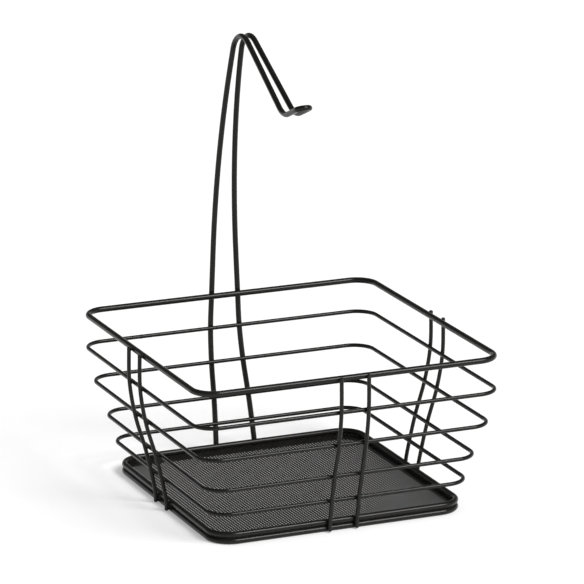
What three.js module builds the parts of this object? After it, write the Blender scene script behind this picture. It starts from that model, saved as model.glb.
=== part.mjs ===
// A square wire basket with a tall wire hook rising from its back. Bent and welded steel wire,
// a mesh sheet for a floor, and a black powder coat all over.
//
// Millimetres. X runs to the right, Y to the back and Z up. The origin is on the table, under
// the middle of the basket.

import * as THREE from 'three';

// Wire diameters
const RIM_WIRE = 5.2;
const BASE_WIRE = 5.2;
const HANGER_WIRE = 4.9;
const RING_WIRE = 3.5;
const RIB_WIRE = 3.5;

// Space between two pieces that a weld holds together
const WELD_GAP = 0.25;

// Rim and side rings: width over the outside of the wire, and height of the wire's middle
const RIM_WIDTH = 280;
const RIM_HEIGHT = 141;
const RING_1_WIDTH = 279.5;
const RING_1_HEIGHT = 111.5;
const RING_2_WIDTH = 269.5;
const RING_2_HEIGHT = 81.5;
const RING_3_WIDTH = 252;
const RING_3_HEIGHT = 51.5;
const RING_4_WIDTH = 241;
const RING_4_HEIGHT = 28.3;
const BASE_WIDTH = 233.5;

// Corner radius at the wire's middle
const RIM_CORNER = 19;
const RING_CORNER = 19;
const BASE_CORNER = 20;

// Mesh sheet: its edge lies between the two base rings and reaches past their middles. A diamond is
// about four times as wide as one of the fine mesh that it stands for.
const MESH_THICKNESS = 0.4;
const MESH_SEAT_GAP = 0.1;
const MESH_EDGE_REACH = 1.2;
const MESH_BORDER = 7;
const MESH_DIAMOND_WIDTH = 22;
const MESH_DIAMOND_DEPTH = 15;
const MESH_STRAND = 3;

// Ribs, two on each of the front, left and right sides
const RIB_SPACING = 25;
const RIB_ABOVE_RIM = 2.4;
const RIB_FOOT_HEIGHT = 0.8;

// Hanger: spacing of its two wires, middle to middle, and the bends seen from the side. With a
// flare of 1 the legs would part evenly, and above 1 they part faster towards their feet.
const HANGER_HEIGHT = 388;
const HANGER_FOOT_HEIGHT = 0.8;
const HANGER_FOOT_SPACING = 37.6;
const HANGER_TOP_SPACING = 8;
const HANGER_ARM_SPACING = 7.2;
const HANGER_TIP_SPACING = 11.6;
const HANGER_FLARE = 1.15;
const BOW_START_HEIGHT = 180;
const BOW_RADIUS = 590;
const TOP_BEND_RADIUS = 22.5;
const ARM_SLOPE = THREE.MathUtils.degToRad(30);
const ARM_LENGTH = 83.5;
const HOOK_BEND_RADIUS = 22.5;
const TIP_SLOPE = THREE.MathUtils.degToRad(23);
const TIP_LENGTH = 19.5;

// Facets: a ring's wire has a narrow flat at its top, bottom and sides, with chamfers between
const WIRE_FLAT = 0.8;
const CHAMFER_STEPS = 2;
const CORNER_STEPS = 3;
const RIB_FACETS = 8;
const RIB_STEPS = 24;
const HANGER_FACETS = 12;
const SPAN_STEPS = 3;
const BOW_STEPS = 8;
const TOP_BEND_STEPS = 9;
const HOOK_BEND_STEPS = 5;
const TIP_BEND_STEPS = 10;

// Powder coat
const COAT_COLOR = 0x1c1c1d;
const COAT_ROUGHNESS = 0.45;

const QUARTER_TURN = Math.PI / 2;

const lowerBaseHeight = BASE_WIRE / 2;
const meshHeight = BASE_WIRE + MESH_SEAT_GAP;
const upperBaseHeight = meshHeight + MESH_THICKNESS + MESH_SEAT_GAP + BASE_WIRE / 2;

// Every ring, from the table up
const baseRing = { width: BASE_WIDTH, wire: BASE_WIRE, corner: BASE_CORNER };
const sideRing = { wire: RING_WIRE, corner: RING_CORNER };
const RINGS = [
  { name: 'base_ring_lower', height: lowerBaseHeight, ...baseRing },
  { name: 'base_ring_upper', height: upperBaseHeight, ...baseRing },
  { name: 'side_ring_4', width: RING_4_WIDTH, height: RING_4_HEIGHT, ...sideRing },
  { name: 'side_ring_3', width: RING_3_WIDTH, height: RING_3_HEIGHT, ...sideRing },
  { name: 'side_ring_2', width: RING_2_WIDTH, height: RING_2_HEIGHT, ...sideRing },
  { name: 'side_ring_1', width: RING_1_WIDTH, height: RING_1_HEIGHT, ...sideRing },
  { name: 'rim', width: RIM_WIDTH, height: RIM_HEIGHT, wire: RIM_WIRE, corner: RIM_CORNER },
];

function blackCoat() {
  return new THREE.MeshStandardMaterial({ color: COAT_COLOR, roughness: COAT_ROUGHNESS });
}

function piece(name, geometry) {
  const mesh = new THREE.Mesh(geometry, blackCoat());
  mesh.name = name;
  return mesh;
}

function roundedSquare(half, radius) {
  const outline = new THREE.Shape();
  const inset = half - radius;
  const corners = [[1, 1], [-1, 1], [-1, -1], [1, -1]];
  corners.forEach(([sideX, sideY], quarter) => {
    const start = quarter * QUARTER_TURN;
    outline.absarc(sideX * inset, sideY * inset, radius, start, start + QUARTER_TURN);
  });
  outline.closePath();
  return outline;
}

// A closed ring of wire: a narrow rounded-square frame, thickened to the wire by its bevel.
function wireRing({ name, width, height, wire, corner }) {
  const middle = (width - wire) / 2;
  const flat = WIRE_FLAT / 2;
  const frame = roundedSquare(middle + flat, corner + flat);
  frame.holes.push(roundedSquare(middle - flat, corner - flat));
  const geometry = new THREE.ExtrudeGeometry(frame, {
    depth: WIRE_FLAT,
    bevelThickness: wire / 2 - flat,
    bevelSize: wire / 2 - flat,
    bevelSegments: CHAMFER_STEPS,
    curveSegments: CORNER_STEPS,
  });
  const ring = piece(name, geometry);
  ring.position.z = height - flat;
  return ring;
}

// The floor: a thin sheet with rows of diamond gaps, every second row set over by half a gap.
function meshFloor() {
  const half = (BASE_WIDTH - BASE_WIRE) / 2 + MESH_EDGE_REACH;
  const sheet = roundedSquare(half, BASE_CORNER + MESH_EDGE_REACH);
  const gapX = (MESH_DIAMOND_WIDTH - MESH_STRAND) / 2;
  const gapY = (MESH_DIAMOND_DEPTH - MESH_STRAND) / 2;
  const field = half - MESH_BORDER;
  const rows = Math.floor((field - gapY) / (MESH_DIAMOND_DEPTH / 2));
  for (let row = -rows; row <= rows; row += 1) {
    const shift = row % 2 === 0 ? 0 : MESH_DIAMOND_WIDTH / 2;
    const y = row * MESH_DIAMOND_DEPTH / 2;
    const reach = field - gapX;
    const count = Math.floor((reach - shift) / MESH_DIAMOND_WIDTH);
    const first = shift === 0 ? -count : -count - 1;
    for (let column = first; column <= count; column += 1) {
      const x = column * MESH_DIAMOND_WIDTH + shift;
      sheet.holes.push(diamond(x, y, gapX, gapY));
    }
  }
  const geometry = new THREE.ExtrudeGeometry(sheet, {
    depth: MESH_THICKNESS,
    bevelEnabled: false,
    curveSegments: CORNER_STEPS,
  });
  const floor = piece('mesh_floor', geometry);
  floor.position.z = meshHeight;
  return floor;
}

function diamond(x, y, halfWidth, halfDepth) {
  return new THREE.Path([
    new THREE.Vector2(x + halfWidth, y),
    new THREE.Vector2(x, y + halfDepth),
    new THREE.Vector2(x - halfWidth, y),
    new THREE.Vector2(x, y - halfDepth),
  ]);
}

// Side view of a wire that runs up the outside of every ring, touching each one. A point's x is its
// distance out from the basket's middle and its y is its height.
function uprightRun(wire, footHeight) {
  const middles = RINGS.map((ring) => new THREE.Vector2((ring.width - ring.wire) / 2, ring.height));
  const run = RINGS.map((ring, index) => {
    const atEnd = index === 0 || index === RINGS.length - 1;
    const slope = new THREE.Vector2(0, 1);
    if (!atEnd) {
      slope.subVectors(middles[index + 1], middles[index - 1]).normalize();
    }
    const outward = new THREE.Vector2(slope.y, -slope.x);
    const distance = (ring.wire + wire) / 2 + WELD_GAP;
    return middles[index].clone().addScaledVector(outward, distance);
  });
  run.unshift(new THREE.Vector2(run[0].x, footHeight));
  return run;
}

function roundWire(radius, facets, path, steps) {
  const section = new THREE.Shape().absarc(0, 0, radius, 0, 2 * Math.PI);
  const settings = { extrudePath: path, steps, curveSegments: facets / 2 };
  return new THREE.ExtrudeGeometry(section, settings);
}

// Two ribs of one side, as they stand on the front, in a group that turns them to their side.
function ribPair(names, turn) {
  const run = uprightRun(RIB_WIRE, RIB_FOOT_HEIGHT);
  const top = run.at(-1);
  run.push(new THREE.Vector2(top.x, RIM_HEIGHT + RIB_ABOVE_RIM));
  const path = new THREE.CatmullRomCurve3(run.map(({ x, y }) => new THREE.Vector3(0, -x, y)));
  const pair = new THREE.Group();
  names.forEach((name, index) => {
    const rib = piece(name, roundWire(RIB_WIRE / 2, RIB_FACETS, path, RIB_STEPS));
    rib.position.x = (index - 0.5) * RIB_SPACING;
    pair.add(rib);
  });
  pair.rotation.z = turn;
  return pair;
}

// A bent wire that is stepped at its own points, so that they can lie close together in the bends.
class BentWire extends THREE.Curve {
  constructor(points) {
    super();
    this.points = points;
  }

  getPoint(t) {
    const place = t * (this.points.length - 1);
    const index = Math.min(Math.floor(place), this.points.length - 2);
    return this.points[index].clone().lerp(this.points[index + 1], place - index);
  }

  getPointAt(u) {
    return this.getPoint(u);
  }

  getTangentAt(u) {
    return this.getTangent(u);
  }
}

// Side view of the hanger, drawn from the foot on. The heading is the angle that the wire has turned
// forward from straight up.
class SideView {
  constructor(points) {
    this.points = points;
    this.heading = 0;
  }

  straight(length) {
    const direction = new THREE.Vector2(-Math.sin(this.heading), Math.cos(this.heading));
    this.points.push(this.points.at(-1).clone().addScaledVector(direction, length));
  }

  bend(radius, heading, steps) {
    const start = this.points.at(-1);
    const swing = radius * Math.sign(heading - this.heading);
    for (let step = 1; step <= steps; step += 1) {
      const angle = THREE.MathUtils.lerp(this.heading, heading, step / steps);
      const x = start.x + swing * (Math.cos(angle) - Math.cos(this.heading));
      const y = start.y + swing * (Math.sin(angle) - Math.sin(this.heading));
      this.points.push(new THREE.Vector2(x, y));
    }
    this.heading = heading;
  }
}

// Wire spacing at each point of a run, changing evenly along its length, or with a flare above 1
// faster near its start.
function taper(points, from, to, flare = 1) {
  let length = 0;
  const lengths = points.map((point, index) => {
    length += index === 0 ? 0 : point.distanceTo(points[index - 1]);
    return length;
  });
  return lengths.map((along) => THREE.MathUtils.lerp(to, from, (1 - along / length) ** flare));
}

function hanger() {
  const run = uprightRun(HANGER_WIRE, HANGER_FOOT_HEIGHT);
  const legCurve = new THREE.CatmullRomCurve3(run.map(({ x, y }) => new THREE.Vector3(0, x, y)));
  const leg = legCurve.getPoints((run.length - 1) * SPAN_STEPS);
  const side = new SideView(leg.map(({ y, z }) => new THREE.Vector2(y, z)));

  side.straight(BOW_START_HEIGHT - RIM_HEIGHT);
  const rise = HANGER_HEIGHT - HANGER_WIRE / 2 - TOP_BEND_RADIUS - BOW_START_HEIGHT;
  side.bend(BOW_RADIUS, Math.asin(rise / (BOW_RADIUS - TOP_BEND_RADIUS)), BOW_STEPS);
  const legEnd = side.points.length;
  side.bend(TOP_BEND_RADIUS, QUARTER_TURN + ARM_SLOPE, TOP_BEND_STEPS);
  const bendEnd = side.points.length;
  side.straight(ARM_LENGTH);
  side.bend(HOOK_BEND_RADIUS, QUARTER_TURN - TIP_SLOPE, HOOK_BEND_STEPS);
  side.straight(TIP_LENGTH);

  const legs = side.points.slice(0, legEnd);
  const topBend = side.points.slice(legEnd - 1, bendEnd);
  const spacing = [
    ...taper(legs, HANGER_FOOT_SPACING, HANGER_TOP_SPACING, HANGER_FLARE),
    ...taper(topBend, HANGER_TOP_SPACING, HANGER_ARM_SPACING).slice(1),
    ...taper(side.points.slice(bendEnd - 1), HANGER_ARM_SPACING, HANGER_TIP_SPACING).slice(1),
  ];
  const left = side.points.map(({ x, y }, index) => new THREE.Vector3(-spacing[index] / 2, x, y));
  const right = left.map((point) => new THREE.Vector3(-point.x, point.y, point.z)).reverse();

  const tipRadius = HANGER_TIP_SPACING / 2;
  const tipEnd = side.points.at(-1);
  const forward = new THREE.Vector3(0, -Math.sin(side.heading), Math.cos(side.heading));
  const tip = [];
  for (let step = 1; step < TIP_BEND_STEPS; step += 1) {
    const angle = Math.PI * step / TIP_BEND_STEPS;
    const point = new THREE.Vector3(-tipRadius * Math.cos(angle), tipEnd.x, tipEnd.y);
    tip.push(point.addScaledVector(forward, tipRadius * Math.sin(angle)));
  }

  const points = [...left, ...tip, ...right];
  const path = new BentWire(points);
  return piece('hanger', roundWire(HANGER_WIRE / 2, HANGER_FACETS, path, points.length - 1));
}

const basket = new THREE.Group();
basket.name = 'fruit_basket';
RINGS.forEach((ring) => basket.add(wireRing(ring)));
basket.add(meshFloor());
basket.add(ribPair(['front_rib_left', 'front_rib_right'], 0));
basket.add(ribPair(['right_rib_front', 'right_rib_back'], QUARTER_TURN));
basket.add(ribPair(['left_rib_back', 'left_rib_front'], -QUARTER_TURN));
basket.add(hanger());

export default basket;
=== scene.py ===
"""Looks for a square basket of black coated wire with a tall wire hook at its back.

Every wire, weld and the mesh floor is drawn again in the place of its solid, round and fine, and
gets a powder coat. Metres, with X to the right, Y to the back and Z up.
"""

import math

import bpy
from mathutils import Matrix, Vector


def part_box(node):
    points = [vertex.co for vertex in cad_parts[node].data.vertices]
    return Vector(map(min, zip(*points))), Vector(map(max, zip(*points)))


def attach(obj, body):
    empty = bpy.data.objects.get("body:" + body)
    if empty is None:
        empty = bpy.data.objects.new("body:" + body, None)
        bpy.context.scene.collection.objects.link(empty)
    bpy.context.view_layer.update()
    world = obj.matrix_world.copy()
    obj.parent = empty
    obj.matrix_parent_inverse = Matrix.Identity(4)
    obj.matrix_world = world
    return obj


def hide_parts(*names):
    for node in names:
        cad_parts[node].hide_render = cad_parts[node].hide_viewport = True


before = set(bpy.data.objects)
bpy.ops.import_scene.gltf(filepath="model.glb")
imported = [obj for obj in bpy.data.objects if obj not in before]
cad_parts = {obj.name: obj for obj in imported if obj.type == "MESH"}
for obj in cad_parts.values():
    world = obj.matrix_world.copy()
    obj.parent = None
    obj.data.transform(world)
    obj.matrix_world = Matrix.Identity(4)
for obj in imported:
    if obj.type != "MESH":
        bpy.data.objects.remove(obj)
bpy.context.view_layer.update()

MM = 0.001
BODY = "root"

# Wires. The ring sizes are read from the solids. With a flare of 1 the hanger's legs would part
# evenly, and above 1 they part faster towards their feet.
RIM_CORNER = 19 * MM
RING_CORNER = 19 * MM
BASE_CORNER = 20 * MM
WELD_GAP = 0.25 * MM
RIB_WIRE = 3.5 * MM
RIB_SPACING = 25 * MM
RIB_FOOT_HEIGHT = 0.8 * MM
RIB_ABOVE_RIM = 2.4 * MM
HANGER_WIRE = 4.9 * MM
HANGER_FOOT_HEIGHT = 0.8 * MM
HANGER_HEIGHT = 388 * MM
HANGER_FOOT_SPACING = 37.6 * MM
HANGER_TOP_SPACING = 8 * MM
HANGER_ARM_SPACING = 7.2 * MM
HANGER_TIP_SPACING = 11.6 * MM
HANGER_FLARE = 1.15
BOW_START_HEIGHT = 180 * MM
BOW_RADIUS = 590 * MM
TOP_BEND_RADIUS = 22.5 * MM
ARM_SLOPE = math.radians(30)
ARM_LENGTH = 83.5 * MM
HOOK_BEND_RADIUS = 22.5 * MM
TIP_SLOPE = math.radians(23)
TIP_LENGTH = 19.5 * MM
CUT_END_ROUNDING = 1.2 * MM

# Mesh floor: expanded sheet whose strands lean out of the sheet, with their front edges up. Its
# edge lies past the middle of the base rings' wire, and a flat band stiffens it there. A gap's
# length is a share of what it would be with pointed ends.
SHEET_EDGE_REACH = 0.95 * MM
SHEET_COLUMNS = 42
SHEET_ROWS = 65
STRAND_WIDTH = 1.4 * MM
STRAND_THICKNESS = 0.2 * MM
STRAND_LEAN = 0.18 * MM
GAP_LENGTH = 0.4
BAND_INSET = 0.3 * MM
BAND_WIDTH = 1.8 * MM
BAND_THICKNESS = 0.36 * MM
JOIN_DISTANCE = 0.01 * MM

# Welds
WELD_LENGTH = 2.6 * MM
WELD_THICKNESS = 1.4 * MM
WELD_UNEVEN = 0.1
WELD_SEED = 4
JOINT_PLACE = -82 * MM
JOINT_LENGTH = 2.6 * MM
JOINT_SWELL = 0.4 * MM

# Fineness of the drawn wires and welds. A rounded end keeps a small face, a share of the wire's
# width, and the line's other points stay clear of the end by this many roundings.
RING_SIDES = 20
CORNER_STEPS = 12
SIDE_CUTS = 2
RIB_SIDES = 16
SPAN_STEPS = 8
HANGER_SIDES = 20
BOW_STEPS = 30
TOP_BEND_STEPS = 24
HOOK_BEND_STEPS = 12
TIP_BEND_STEPS = 24
STRAIGHT_STEPS = 6
END_STEPS = 5
END_FACE = 0.04
END_CLEARANCE = 1.2
WELD_SEGMENTS = 12
WELD_RINGS = 8

# Powder coat: the range that the noise fills, its scales in turns a metre, and depths of bumps
NOISE_LOW = 0.3
NOISE_HIGH = 0.7
PATCH_SCALE = 70
PATCH_DETAIL = 3
PEEL_SCALE = 700
PEEL_DETAIL = 1
PEEL_DEPTH = 0.01 * MM
GRAIN_SCALE = 3500
GRAIN_DETAIL = 2
GRAIN_DEPTH = 0.003 * MM
COAT_COLOUR = (0.0086, 0.0083, 0.0073)
COAT_DULL_COLOUR = (0.0125, 0.0121, 0.0108)
WIRE_SPECULAR = 0.22
WIRE_ROUGHNESS = (0.19, 0.26)
MESH_SPECULAR = 0.18
MESH_ROUGHNESS = (0.32, 0.4)

# Studio. The paper's lift is seen, also in reflections, but lights nothing. Looking up, the walls
# are white to the first slope and have faded to the ceiling's light at the second.
PAPER_COLOUR = (0.8, 0.8, 0.8)
PAPER_LIFT = 0.28
FLOOR_REACH = 12
WORLD_LIGHT = 0.42
WALL_WHITE = 0.09
WALL_END = 0.2
CEILING_LIGHT = 0.1
KEY_FROM = (0.38, -0.63, 0.67)
KEY_LIGHT = 2.7
KEY_SPREAD = math.radians(30)

# View
CAMERA_PLACE = (-1.3884, -3.2236, 1.1696)
CAMERA_TURN = (math.radians(74.24), 0.0, math.radians(-23.359))
CAMERA_LENS = 261.65
CLIP_END = 60


class Tree:
    """A Geometry Nodes tree with named inputs, which ends in real faces with one material."""

    def __init__(self, name, **inputs):
        self.group = bpy.data.node_groups.new(name, "GeometryNodeTree")
        face = self.group.interface
        face.new_socket("Geometry", in_out="INPUT", socket_type="NodeSocketGeometry")
        for label, kind in {**inputs, "Coat": "Material"}.items():
            label = label.replace("_", " ")
            face.new_socket(label, in_out="INPUT", socket_type=f"NodeSocket{kind}")
        face.new_socket("Geometry", in_out="OUTPUT", socket_type="NodeSocketGeometry")
        self.sizes = self.group.nodes.new("NodeGroupInput").outputs

    def add(self, kind, output=0, settings=None, **inputs):
        """One node, wired or set by input name or index. Returns one of its outputs."""
        node = self.group.nodes.new(kind)
        for key, value in (settings or {}).items():
            setattr(node, key, value)
        for key, value in inputs.items():
            place = int(key[1:]) if key[1:].isdigit() else key.replace("_", " ")
            self.feed(node.inputs[place], value)
        return node.outputs[output]

    def feed(self, socket, value):
        for part in value if isinstance(value, list) else [value]:
            if isinstance(part, bpy.types.NodeSocket):
                self.group.links.new(part, socket)
            else:
                socket.default_value = part

    def math(self, operation, a, b=0.0):
        return self.add("ShaderNodeMath", settings={"operation": operation}, _0=a, _1=b)

    def xyz(self, x=0.0, y=0.0, z=0.0):
        return self.add("ShaderNodeCombineXYZ", X=x, Y=y, Z=z)

    def end(self, geometry, smooth=True):
        shaded = self.add("GeometryNodeSetShadeSmooth", Geometry=geometry, Shade_Smooth=smooth)
        real = self.add("GeometryNodeRealizeInstances", Geometry=shaded)
        coated = self.add("GeometryNodeSetMaterial", Geometry=real, Material=self.sizes["Coat"])
        self.feed(self.group.nodes.new("NodeGroupOutput").inputs[0], coated)


def draw(name, tree, start=None, **sizes):
    """A plain mesh object, made by the tree from a start mesh and named sizes."""
    piece = bpy.data.objects.new(name, start or bpy.data.meshes.new(name))
    bpy.context.scene.collection.objects.link(piece)
    maker = piece.modifiers.new(tree.group.name, "NODES")
    maker.node_group = tree.group
    sockets = {item.name: item.identifier for item in tree.group.interface.items_tree
               if item.in_out == "INPUT"}
    for label, size in sizes.items():
        maker[sockets[label.replace("_", " ")]] = size
    graph = bpy.context.evaluated_depsgraph_get()
    mesh = bpy.data.meshes.new_from_object(piece.evaluated_get(graph), depsgraph=graph)
    mesh.name = name
    piece.modifiers.clear()
    piece.data = mesh
    return piece


def hand_over(piece, slot, *nodes):
    """The piece rides on the basket and stands for these solids."""
    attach(piece, BODY)
    if nodes:
        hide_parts(*nodes)


def line_mesh(name, points):
    mesh = bpy.data.meshes.new(name)
    mesh.from_pydata(points, [(i, i + 1) for i in range(len(points) - 1)], [])
    return mesh


def through(points, steps):
    """Points of a smooth line through the given ones, evenly rounded where they lie close."""
    ends = [2 * points[0] - points[1], *points, 2 * points[-1] - points[-2]]
    line = []
    for a, b, c, d in zip(ends, ends[1:], ends[2:], ends[3:]):
        before, here, after = (math.sqrt((q - p).length) for p, q in ((a, b), (b, c), (c, d)))
        leave = ((b - a) / before - (c - a) / (before + here) + (c - b) / here) * here
        reach = ((c - b) / here - (d - b) / (here + after) + (d - c) / after) * here
        for step in range(steps):
            t = step / steps
            ease = t * t * (3 - 2 * t)
            line.append(b * (1 - ease) + c * ease + (leave * (1 - t) - reach * t) * t * (1 - t))
    return line + [points[-1]]


def with_end_points(points):
    """The line with extra points near both ends, where the wire's cut ends are rounded off."""
    for _ in range(2):
        away = (points[1] - points[0]).normalized()
        turns = [math.pi / 2 * step / END_STEPS for step in range(END_STEPS + 1)]
        cap = [points[0] + away * CUT_END_ROUNDING * (1 - math.cos(turn)) for turn in turns]
        kept = [p for p in points if (p - points[0]).length > END_CLEARANCE * CUT_END_ROUNDING]
        points = [*cap, *kept][::-1]
    return points


class SideView:
    """A wire drawn in side view. The heading is how far it has turned forward from straight up."""

    def __init__(self, points):
        self.points = points
        self.heading = 0.0

    def straight(self, length):
        ahead = Vector((-math.sin(self.heading), math.cos(self.heading)))
        start = self.points[-1]
        for step in range(STRAIGHT_STEPS):
            self.points.append(start + ahead * length * (step + 1) / STRAIGHT_STEPS)

    def bend(self, radius, heading, steps):
        start, first = self.points[-1], self.heading
        swing = math.copysign(radius, heading - first)
        for step in range(steps):
            turn = first + (heading - first) * (step + 1) / steps
            along = Vector((math.cos(turn) - math.cos(first), math.sin(turn) - math.sin(first)))
            self.points.append(start + along * swing)
        self.heading = heading


def taper(points, first, last, flare=1):
    """Wire spacing at each point. With a flare above one it changes faster near the start."""
    lengths = [0.0]
    for a, b in zip(points, points[1:]):
        lengths.append(lengths[-1] + (b - a).length)
    return [last + (first - last) * (1 - length / lengths[-1]) ** flare for length in lengths]


class Ring:
    """A ring's sizes, read from its solid."""

    def __init__(self, node, corner):
        low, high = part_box(node)
        self.node = node
        self.corner = corner
        self.wire = high.z - low.z
        self.half = high.x - self.wire / 2
        self.height = (low.z + high.z) / 2


RINGS = [
    Ring("base_ring_lower", BASE_CORNER),
    Ring("base_ring_upper", BASE_CORNER),
    Ring("side_ring_4", RING_CORNER),
    Ring("side_ring_3", RING_CORNER),
    Ring("side_ring_2", RING_CORNER),
    Ring("side_ring_1", RING_CORNER),
    Ring("rim", RIM_CORNER),
]
FOOT_RING = RINGS[0]
RING_UNDER_RIM = RINGS[-2]
RIM = RINGS[-1]

# Each rib: the turn of its side from the front, its place across that side, and its solid
RIBS = [
    (0, -RIB_SPACING / 2, "front_rib_left"),
    (0, RIB_SPACING / 2, "front_rib_right"),
    (math.pi / 2, -RIB_SPACING / 2, "right_rib_front"),
    (math.pi / 2, RIB_SPACING / 2, "right_rib_back"),
    (-math.pi / 2, -RIB_SPACING / 2, "left_rib_back"),
    (-math.pi / 2, RIB_SPACING / 2, "left_rib_front"),
]


def upright_run(wire, foot):
    """Side view of a wire up the outside of every ring, and where and which way each weld faces."""
    middles = [Vector((ring.half, ring.height)) for ring in RINGS]
    run, welds = [], []
    for index, ring in enumerate(RINGS):
        slope = Vector((0, 1))
        if 0 < index < len(RINGS) - 1:
            slope = (middles[index + 1] - middles[index - 1]).normalized()
        outward = Vector((slope.y, -slope.x))
        run.append(middles[index] + outward * ((ring.wire + wire) / 2 + WELD_GAP))
        welds.append((middles[index] + outward * (ring.wire + WELD_GAP) / 2, outward))
    return [Vector((run[0].x, foot)), *run], welds


def on_side(turn, across, out, height):
    """A point on one side of the basket: turn 0 is the front, a quarter turn the right side."""
    x = across * math.cos(turn) + out * math.sin(turn)
    y = across * math.sin(turn) - out * math.cos(turn)
    return Vector((x, y, height))


def hanger_line():
    """The hanger's wire from one foot, over the hook and back down to the other."""
    run, _ = upright_run(HANGER_WIRE, HANGER_FOOT_HEIGHT)
    side = SideView(through(run, SPAN_STEPS))
    side.straight(BOW_START_HEIGHT - RIM.height)
    rise = HANGER_HEIGHT - HANGER_WIRE / 2 - TOP_BEND_RADIUS - BOW_START_HEIGHT
    side.bend(BOW_RADIUS, math.asin(rise / (BOW_RADIUS - TOP_BEND_RADIUS)), BOW_STEPS)
    leg_end = len(side.points)
    side.bend(TOP_BEND_RADIUS, math.pi / 2 + ARM_SLOPE, TOP_BEND_STEPS)
    bend_end = len(side.points)
    side.straight(ARM_LENGTH)
    side.bend(HOOK_BEND_RADIUS, math.pi / 2 - TIP_SLOPE, HOOK_BEND_STEPS)
    side.straight(TIP_LENGTH)
    legs = side.points[:leg_end]
    top_bend = side.points[leg_end - 1:bend_end]
    arm = side.points[bend_end - 1:]
    spacing = taper(legs, HANGER_FOOT_SPACING, HANGER_TOP_SPACING, HANGER_FLARE)
    spacing += taper(top_bend, HANGER_TOP_SPACING, HANGER_ARM_SPACING)[1:]
    spacing += taper(arm, HANGER_ARM_SPACING, HANGER_TIP_SPACING)[1:]
    left = [Vector((-gap / 2, p.x, p.y)) for p, gap in zip(side.points, spacing)]
    right = [Vector((-p.x, p.y, p.z)) for p in reversed(left)]
    ahead = Vector((0, -math.sin(side.heading), math.cos(side.heading)))
    middle = Vector((0, *side.points[-1]))
    radius = HANGER_TIP_SPACING / 2
    tip = []
    for step in range(1, TIP_BEND_STEPS):
        turn = math.pi * step / TIP_BEND_STEPS
        tip.append(middle + radius * (ahead * math.sin(turn) - Vector((math.cos(turn), 0, 0))))
    return [*left, *tip, *right]


def scaled(tree, value, low, high, start=0, end=1):
    """The value spread from its own range to low and high, each a number or another value."""
    spread = tree.nodes.new("ShaderNodeMapRange")
    for label, limit in (("Value", value), ("From Min", start), ("From Max", end), ("To Min", low),
                         ("To Max", high)):
        if isinstance(limit, bpy.types.NodeSocket):
            tree.links.new(limit, spread.inputs[label])
        else:
            spread.inputs[label].default_value = limit
    return spread.outputs["Result"]


def powder_coat(name, specular, roughness):
    """Black powder coat: a faint orange peel, fine grain, and patches a little duller than others."""
    coat = bpy.data.materials.new(name)
    coat.use_nodes = True
    tree = coat.node_tree
    nodes, links = tree.nodes, tree.links
    shader = nodes["Principled BSDF"]
    shader.inputs["Specular IOR Level"].default_value = specular
    place = nodes.new("ShaderNodeTexCoord").outputs["Object"]

    def noise(scale, detail):
        node = nodes.new("ShaderNodeTexNoise")
        node.inputs["Scale"].default_value = scale
        node.inputs["Detail"].default_value = detail
        links.new(place, node.inputs["Vector"])
        return node.outputs["Fac"]

    def spread(value, low, high):
        return scaled(tree, value, low, high, NOISE_LOW, NOISE_HIGH)

    patches = noise(PATCH_SCALE, PATCH_DETAIL)
    tint = nodes.new("ShaderNodeMix")
    tint.data_type = "RGBA"
    tint.inputs["A"].default_value = (*COAT_COLOUR, 1)
    tint.inputs["B"].default_value = (*COAT_DULL_COLOUR, 1)
    links.new(spread(patches, 0, 1), tint.inputs["Factor"])
    links.new(tint.outputs["Result"], shader.inputs["Base Color"])
    links.new(spread(patches, *roughness), shader.inputs["Roughness"])
    normal = None
    peel = (PEEL_SCALE, PEEL_DETAIL, PEEL_DEPTH)
    grain = (GRAIN_SCALE, GRAIN_DETAIL, GRAIN_DEPTH)
    for scale, detail, depth in (peel, grain):
        bump = nodes.new("ShaderNodeBump")
        bump.inputs["Distance"].default_value = depth
        links.new(noise(scale, detail), bump.inputs["Height"])
        if normal:
            links.new(normal, bump.inputs["Normal"])
        normal = bump.outputs["Normal"]
    links.new(normal, shader.inputs["Normal"])
    return coat


def rounded_square(tree, span, corner):
    square = tree.add("GeometryNodeCurvePrimitiveQuadrilateral", Width=span, Height=span)
    return tree.add("GeometryNodeFilletCurve", settings={"mode": "POLY"}, Curve=square,
                    Count=CORNER_STEPS, Radius=corner)


def wire_ring_tree():
    """A closed ring of round wire, bent to a rounded square."""
    tree = Tree("wire_ring", Span="Float", Height="Float", Corner="Float", Wire="Float")
    size = tree.sizes
    bent = rounded_square(tree, size["Span"], size["Corner"])
    fine = tree.add("GeometryNodeSubdivideCurve", Curve=bent, Cuts=SIDE_CUTS)
    lifted = tree.add("GeometryNodeSetPosition", Geometry=fine, Offset=tree.xyz(z=size["Height"]))
    section = tree.add("GeometryNodeCurvePrimitiveCircle", Resolution=RING_SIDES,
                       Radius=tree.math("MULTIPLY", size["Wire"], 0.5))
    tree.end(tree.add("GeometryNodeCurveToMesh", Curve=lifted, Profile_Curve=section))
    return tree


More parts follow.
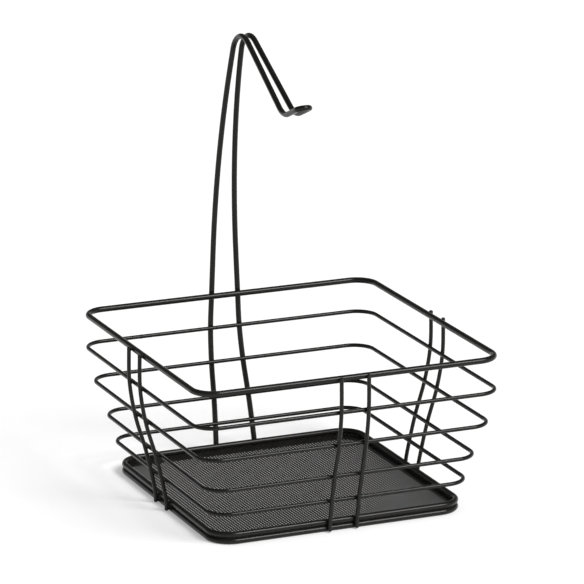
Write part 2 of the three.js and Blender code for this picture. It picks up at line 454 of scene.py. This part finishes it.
def cut_wire_tree():
    """A round wire along a line, with its cut ends rounded off."""
    tree = Tree("cut_wire", Wire="Float", Rounding="Float", Sides="Int")
    size = tree.sizes
    line = tree.add("GeometryNodeMeshToCurve", Mesh=size["Geometry"])
    along = tree.add("GeometryNodeSplineParameter", output="Length")
    left = tree.math("SUBTRACT", tree.add("GeometryNodeSplineLength"), along)
    share = tree.math("DIVIDE", tree.math("MINIMUM", along, left), size["Rounding"])
    fall = tree.math("SUBTRACT", 1.0, tree.math("MINIMUM", share, 1.0))
    dome = tree.math("SQRT", tree.math("SUBTRACT", 1.0, tree.math("MULTIPLY", fall, fall)))
    section = tree.add("GeometryNodeCurvePrimitiveCircle", Resolution=size["Sides"],
                       Radius=tree.math("MULTIPLY", size["Wire"], 0.5))
    tree.end(tree.add("GeometryNodeCurveToMesh", Curve=line, Profile_Curve=section, Fill_Caps=True,
                      Scale=tree.math("MAXIMUM", dome, END_FACE)))
    return tree


def weld_tree():
    """A flattened bead in every crossing of two wires, each a little different."""
    tree = Tree("welds", Length="Float", Thickness="Float")
    size = tree.sizes
    bead = tree.add("GeometryNodeMeshUVSphere", Segments=WELD_SEGMENTS, Rings=WELD_RINGS,
                    Radius=0.5)
    facing = tree.add("GeometryNodeInputNamedAttribute", settings={"data_type": "FLOAT_VECTOR"},
                      Name="outward")
    turned = tree.add("FunctionNodeAlignRotationToVector", settings={"axis": "Z"}, Vector=facing)
    uneven = tree.add("FunctionNodeRandomValue", output=1, settings={"data_type": "FLOAT"},
                      _2=1 - WELD_UNEVEN, _3=1 + WELD_UNEVEN, Seed=WELD_SEED)
    length = tree.math("MULTIPLY", size["Length"], uneven)
    beads = tree.add("GeometryNodeInstanceOnPoints", Points=size["Geometry"], Instance=bead,
                     Rotation=turned, Scale=tree.xyz(length, length, size["Thickness"]))
    tree.end(beads)
    return tree


def mesh_sheet_tree():
    """Expanded sheet: staggered diamonds whose strands lean, cut to a rounded square with a band."""
    tree = Tree("mesh_sheet", Width="Float", Depth="Float", Half="Float", Corner="Float",
                Thickness="Float", Height="Float", Columns="Int", Rows="Int", Band_Width="Float",
                Band_Thickness="Float", Band_Inset="Float")
    size = tree.sizes
    spans = [tree.math("MULTIPLY", tree.math("SUBTRACT", size[count], 1.0), size[pitch])
             for count, pitch in (("Columns", "Width"), ("Rows", "Depth"))]
    grid = tree.add("GeometryNodeMeshGrid", Size_X=spans[0], Size_Y=spans[1],
                    Vertices_X=size["Columns"], Vertices_Y=size["Rows"])
    half_diamond = tree.xyz(tree.math("MULTIPLY", size["Width"], 0.5),
                            tree.math("MULTIPLY", size["Depth"], 0.5))
    between = tree.add("GeometryNodeTransform", Geometry=grid, Translation=half_diamond)
    places = tree.add("GeometryNodeJoinGeometry", Geometry=[grid, between])

    def vector(operation, *values, output=0, **feeds):
        feeds.update({f"_{index}": value for index, value in enumerate(values)})
        return tree.add("ShaderNodeVectorMath", output, {"operation": operation}, **feeds)

    inner = tree.math("SUBTRACT", size["Half"], size["Corner"])
    quarter_diamond = vector("SCALE", half_diamond, _3=0.5)
    reach = vector("ADD", vector("ABSOLUTE", tree.add("GeometryNodeInputPosition")), quarter_diamond)
    past = vector("MAXIMUM", vector("SUBTRACT", reach, tree.xyz(inner, inner)), (0.0, 0.0, 0.0))
    outside = tree.math("GREATER_THAN", vector("LENGTH", past, output="Value"), size["Corner"])
    kept = tree.add("GeometryNodeDeleteGeometry", settings={"domain": "POINT"}, Geometry=places,
                    Selection=outside)
    scale = tree.xyz(size["Width"], size["Depth"], 1.0)
    cells = tree.add("GeometryNodeInstanceOnPoints", Points=kept, Instance=size["Geometry"],
                     Scale=scale)
    sheet = tree.add("GeometryNodeMergeByDistance", Distance=JOIN_DISTANCE,
                     Geometry=tree.add("GeometryNodeRealizeInstances", Geometry=cells))
    top = tree.add("GeometryNodeExtrudeMesh", Mesh=sheet, Offset=tree.xyz(z=1.0),
                   Offset_Scale=size["Thickness"], Individual=False)
    under = tree.add("GeometryNodeFlipFaces", Mesh=sheet)
    both = tree.add("GeometryNodeJoinGeometry", Geometry=[top, under])
    solid = tree.add("GeometryNodeMergeByDistance", Geometry=both, Distance=JOIN_DISTANCE)
    centred = tree.add("GeometryNodeSetPosition", Geometry=solid,
                       Offset=tree.xyz(z=tree.math("MULTIPLY", size["Thickness"], -0.5)))

    inset = tree.math("ADD", size["Band Inset"], tree.math("MULTIPLY", size["Band Width"], 0.5))
    span = tree.math("MULTIPLY", tree.math("SUBTRACT", size["Half"], inset), 2.0)
    middle = rounded_square(tree, span, tree.math("SUBTRACT", size["Corner"], inset))
    section = tree.add("GeometryNodeCurvePrimitiveQuadrilateral", Width=size["Band Width"],
                       Height=size["Band Thickness"])
    band = tree.add("GeometryNodeCurveToMesh", Curve=middle, Profile_Curve=section)
    whole = tree.add("GeometryNodeJoinGeometry", Geometry=[centred, band])
    tree.end(tree.add("GeometryNodeSetPosition", Geometry=whole, Offset=tree.xyz(z=size["Height"])),
             smooth=False)
    return tree


def diamond_cell(width, depth):
    """One diamond of the mesh, one unit across each way: strands round a gap with blunt ends."""
    to_edge = width * depth / math.hypot(width, depth) / 2
    gap = 0.5 * (1 - STRAND_WIDTH / 2 / to_edge)
    end = gap * GAP_LENGTH
    step = gap - end
    outer = [(0.5, 0, 0), (0, 0.5, 0), (-0.5, 0, 0), (0, -0.5, 0)]
    inner = [(end, step), (0, gap), (-end, step), (-end, -step), (0, -gap), (end, -step)]
    leaning = [(x, y, STRAND_LEAN * y / gap) for x, y in inner]
    strands = [(0, 1, 5, 4), (1, 2, 6, 5), (2, 3, 8, 7), (3, 0, 9, 8)]
    crossings = [(2, 7, 6), (0, 4, 9)]
    cell = bpy.data.meshes.new("mesh_diamond")
    cell.from_pydata(outer + leaning, [], strands + crossings)
    return cell


def draw_rings(coat):
    tree = wire_ring_tree()
    for ring in RINGS:
        piece = draw(f"{ring.node}_wire", tree, Span=2 * ring.half, Height=ring.height,
                     Corner=ring.corner, Wire=ring.wire, Coat=coat)
        hand_over(piece, "wire_coat", ring.node)


def draw_cut_wires(coat):
    """The ribs, the hanger and the butt joint that closes the ring under the rim."""
    tree = cut_wire_tree()
    run, _ = upright_run(RIB_WIRE, RIB_FOOT_HEIGHT)
    run.append(Vector((run[-1].x, RIM.height + RIB_ABOVE_RIM)))
    side_line = through(run, SPAN_STEPS)
    for turn, across, node in RIBS:
        line = with_end_points([on_side(turn, across, *point) for point in side_line])
        piece = draw(f"{node}_wire", tree, line_mesh(node, line), Wire=RIB_WIRE,
                     Rounding=CUT_END_ROUNDING, Sides=RIB_SIDES, Coat=coat)
        hand_over(piece, "wire_coat", node)
    hanger = draw("hanger_wire", tree, line_mesh("hanger", with_end_points(hanger_line())),
                  Wire=HANGER_WIRE, Rounding=CUT_END_ROUNDING, Sides=HANGER_SIDES, Coat=coat)
    hand_over(hanger, "wire_coat", "hanger")
    ring = RING_UNDER_RIM
    ends = [Vector((JOINT_PLACE + shift, ring.half, ring.height))
            for shift in (-JOINT_LENGTH / 2, JOINT_LENGTH / 2)]
    joint = draw("side_ring_1_joint", tree, line_mesh("joint", with_end_points(ends)),
                 Wire=ring.wire + JOINT_SWELL, Rounding=CUT_END_ROUNDING, Sides=RIB_SIDES, Coat=coat)
    hand_over(joint, "wire_coat")


def draw_welds(coat):
    places, facings = [], []

    def weld(turn, across, place, outward):
        places.append(on_side(turn, across, *place))
        facings.append(on_side(turn, 0, *outward))

    for turn, across, _ in RIBS:
        for place, outward in upright_run(RIB_WIRE, RIB_FOOT_HEIGHT)[1]:
            weld(turn, across, place, outward)
    leg = hanger_line()
    for index, (place, outward) in enumerate(upright_run(HANGER_WIRE, HANGER_FOOT_HEIGHT)[1]):
        for side in (-1, 1):
            weld(math.pi, side * leg[(index + 1) * SPAN_STEPS].x, place, outward)
    points = bpy.data.meshes.new("weld_points")
    points.from_pydata(places, [], [])
    facing = points.attributes.new("outward", "FLOAT_VECTOR", "POINT")
    facing.data.foreach_set("vector", [x for outward in facings for x in outward])
    welds = draw("weld_beads", weld_tree(), points, Length=WELD_LENGTH, Thickness=WELD_THICKNESS,
                 Coat=coat)
    hand_over(welds, "wire_coat")


def draw_mesh_floor(coat):
    ring = FOOT_RING
    half = ring.half + SHEET_EDGE_REACH
    width, depth = 2 * half / SHEET_COLUMNS, 2 * half / SHEET_ROWS
    low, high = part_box("mesh_floor")
    sheet = draw("mesh_floor_sheet", mesh_sheet_tree(), diamond_cell(width, depth), Width=width,
                 Depth=depth, Half=half + JOIN_DISTANCE, Corner=ring.corner + SHEET_EDGE_REACH,
                 Thickness=STRAND_THICKNESS, Height=(low.z + high.z) / 2, Columns=SHEET_COLUMNS,
                 Rows=SHEET_ROWS, Band_Width=BAND_WIDTH, Band_Thickness=BAND_THICKNESS,
                 Band_Inset=BAND_INSET, Coat=coat)
    hand_over(sheet, "mesh_coat", "mesh_floor")


def seen_rays(tree):
    """One for rays from the camera, mirrors and glass, and zero for the rest."""
    rays = tree.nodes.new("ShaderNodeLightPath").outputs
    total = rays["Is Camera Ray"]
    for other in ("Is Glossy Ray", "Is Transmission Ray"):
        both = tree.nodes.new("ShaderNodeMath")
        both.operation = "MAXIMUM"
        tree.links.new(total, both.inputs[0])
        tree.links.new(rays[other], both.inputs[1])
        total = both.outputs[0]
    return total


def set_floor():
    """A pale floor that reads as white and keeps the soft shadow."""
    paper = bpy.data.materials.new("pale_paper")
    paper.use_nodes = True
    tree = paper.node_tree
    tree.nodes.clear()
    matt = tree.nodes.new("ShaderNodeBsdfDiffuse")
    matt.inputs["Color"].default_value = (*PAPER_COLOUR, 1)
    lift = tree.nodes.new("ShaderNodeEmission")
    tree.links.new(scaled(tree, seen_rays(tree), 0, PAPER_LIFT), lift.inputs["Strength"])
    both = tree.nodes.new("ShaderNodeAddShader")
    tree.links.new(matt.outputs[0], both.inputs[0])
    tree.links.new(lift.outputs[0], both.inputs[1])
    tree.links.new(both.outputs[0], tree.nodes.new("ShaderNodeOutputMaterial").inputs["Surface"])

    reach = FLOOR_REACH
    sheet = bpy.data.meshes.new("floor")
    corners = [(-reach, -reach, 0), (reach, -reach, 0), (reach, reach, 0), (-reach, reach, 0)]
    sheet.from_pydata(corners, [], [(0, 1, 2, 3)])
    sheet.materials.append(paper)
    floor = bpy.data.objects.new("floor", sheet)
    bpy.context.scene.collection.objects.link(floor)


def set_room():
    """Even grey light. Where it is seen, the room has white walls and a dim ceiling."""
    world = bpy.data.worlds.new("studio")
    world.use_nodes = True
    tree = world.node_tree
    sky = tree.nodes["Background"]
    sky.inputs["Color"].default_value = (1, 1, 1, 1)
    parts = tree.nodes.new("ShaderNodeSeparateXYZ")
    tree.links.new(tree.nodes.new("ShaderNodeTexCoord").outputs["Generated"], parts.inputs[0])
    walls = scaled(tree, parts.outputs["Z"], 1, CEILING_LIGHT, WALL_WHITE, WALL_END)
    light = scaled(tree, seen_rays(tree), WORLD_LIGHT, walls)
    tree.links.new(light, sky.inputs["Strength"])
    bpy.context.scene.world = world


def hang_lamp():
    """One wide soft light from the front right, above the camera."""
    lamp = bpy.data.lights.new("key_lamp", "SUN")
    lamp.energy = KEY_LIGHT
    lamp.angle = KEY_SPREAD
    holder = bpy.data.objects.new("key_lamp", lamp)
    holder.location = KEY_FROM
    holder.rotation_euler = Vector(KEY_FROM).to_track_quat("Z", "Y").to_euler()
    bpy.context.scene.collection.objects.link(holder)


def set_camera():
    lens = bpy.data.cameras.new("camera")
    lens.lens = CAMERA_LENS
    lens.clip_end = CLIP_END
    camera = bpy.data.objects.new("camera", lens)
    camera.location = CAMERA_PLACE
    camera.rotation_euler = CAMERA_TURN
    bpy.context.scene.collection.objects.link(camera)
    bpy.context.scene.camera = camera


wire_coat = powder_coat("wire_coat", WIRE_SPECULAR, WIRE_ROUGHNESS)
mesh_coat = powder_coat("mesh_coat", MESH_SPECULAR, MESH_ROUGHNESS)
draw_rings(wire_coat)
draw_cut_wires(wire_coat)
draw_welds(wire_coat)
draw_mesh_floor(mesh_coat)
set_floor()
set_room()
hang_lamp()
set_camera()
bpy.context.scene.view_settings.view_transform = "Standard"

bpy.context.view_layer.update()
